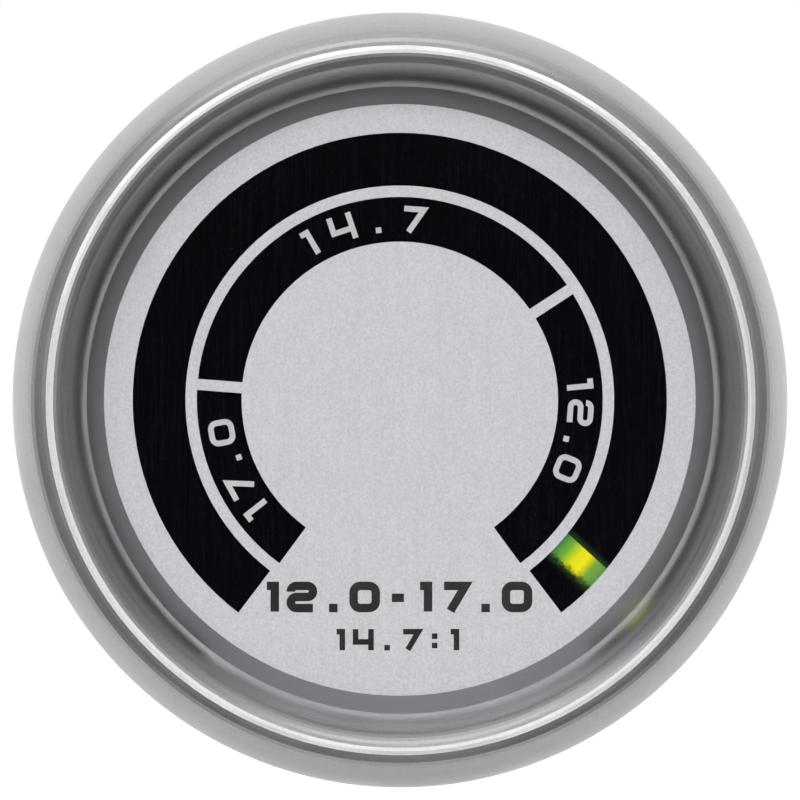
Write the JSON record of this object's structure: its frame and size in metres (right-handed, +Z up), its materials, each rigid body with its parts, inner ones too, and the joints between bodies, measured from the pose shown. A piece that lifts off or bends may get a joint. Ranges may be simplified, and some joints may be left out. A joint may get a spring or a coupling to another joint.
{
  "type": "air fuel ratio gauge",
  "caption": "Round panel gauge: an arc of lamps shows the air-fuel ratio; a U bracket with two thumb nuts clamps it in a hole.",
  "frame": {"origin": "on the case axis, in the panel face that the bezel seats on", "axes": "+Y rearwards along the case, out of its back; +Z up and +X right as the driver sees the dial"},
  "size_m": [0.0576, 0.0601, 0.0576],
  "materials": {
    "bezel_satin": "satin, fine bead-blasted grain",
    "trim_satin": "satin, turned",
    "black_rubber": "matte",
    "lens_glass": "clear, polished both sides",
    "dial_silver": "fine vertical brushing under a matte lacquer",
    "smoked_plastic": "smoked, fine texture",
    "baffle_plastic": "matte black",
    "milky_plastic": "translucent white",
    "red_lamp": "tinted, unlit",
    "amber_lamp": "tinted, unlit",
    "green_lamp": "tinted, unlit",
    "lit_lamp": "glowing yellow-green",
    "white_lamp": "phosphor yellow-white, unlit",
    "board_green": "green solder mask",
    "chip_epoxy": "moulded black",
    "screw_steel": "zinc plated",
    "spacer_brass": "turned",
    "contact_gold": "gold flashed",
    "can_sleeve": "printed sleeve, plain",
    "resistor_lacquer": "beige lacquer with colour bands",
    "case_black": "semi-gloss black",
    "socket_black": "moulded black",
    "stud_zinc": "zinc plated",
    "bracket_zinc": "zinc plated strip",
    "nut_nickel": "nickel plated, knurled"
  },
  "bodies": {
    "gauge": {"bezel": "bezel_satin", "lens_gasket": "black_rubber", "lens": "lens_glass", "trim_ring": "trim_satin", "dial_plate": "dial_silver", "smoked_filter": "smoked_plastic", "led_baffle": "baffle_plastic", "dial_diffuser": "milky_plastic", "lean_leds": "red_lamp", "stoich_leds": "amber_lamp", "rich_leds": "green_lamp", "lit_led": "lit_lamp", "backlight_leds": "white_lamp", "display_board": "board_green", "driver_chips": "chip_epoxy", "display_board_screws": "screw_steel", "board_spacers": "spacer_brass", "header_strips": "socket_black", "header_pins": "contact_gold", "power_board": "board_green", "op_amp": "chip_epoxy", "voltage_regulator": "chip_epoxy", "capacitors": "can_sleeve", "resistors": "resistor_lacquer", "power_board_screws": "screw_steel", "stud_pillars": "spacer_brass", "pillar_screws": "screw_steel", "case": "case_black", "socket_seal": "black_rubber", "rear_socket": "socket_black", "contact_pins": "contact_gold", "mounting_studs": "stud_zinc", "jam_washers": "stud_zinc", "jam_nuts": "stud_zinc"},
    "clamp": {"clamp_bracket": "bracket_zinc", "lock_washers": "stud_zinc"},
    "left_nut": {"left_thumb_nut": "nut_nickel"},
    "right_nut": {"right_thumb_nut": "nut_nickel"}
  },
  "joints": [
    {"name": "clamp_slide", "type": "slide", "parent": "gauge", "child": "clamp", "axis": [0, 1, 0], "range_m": [-0.0022, 0.008]},
    {"name": "left_nut_turn", "type": "hinge", "parent": "clamp", "child": "left_nut", "pos_m": [-0.015, 0.0412, 0], "axis": [0, 1, 0], "range_deg": [-998, 3629]},
    {"name": "right_nut_turn", "type": "hinge", "parent": "clamp", "child": "right_nut", "pos_m": [0.015, 0.0412, 0], "axis": [0, 1, 0], "range_deg": [-998, 3629]}
  ],
  "couplings": [
    {"joint": "left_nut_turn", "follows": "clamp_slide", "rad_per_m": 7915.8},
    {"joint": "right_nut_turn", "follows": "clamp_slide", "rad_per_m": 7915.8}
  ]
}
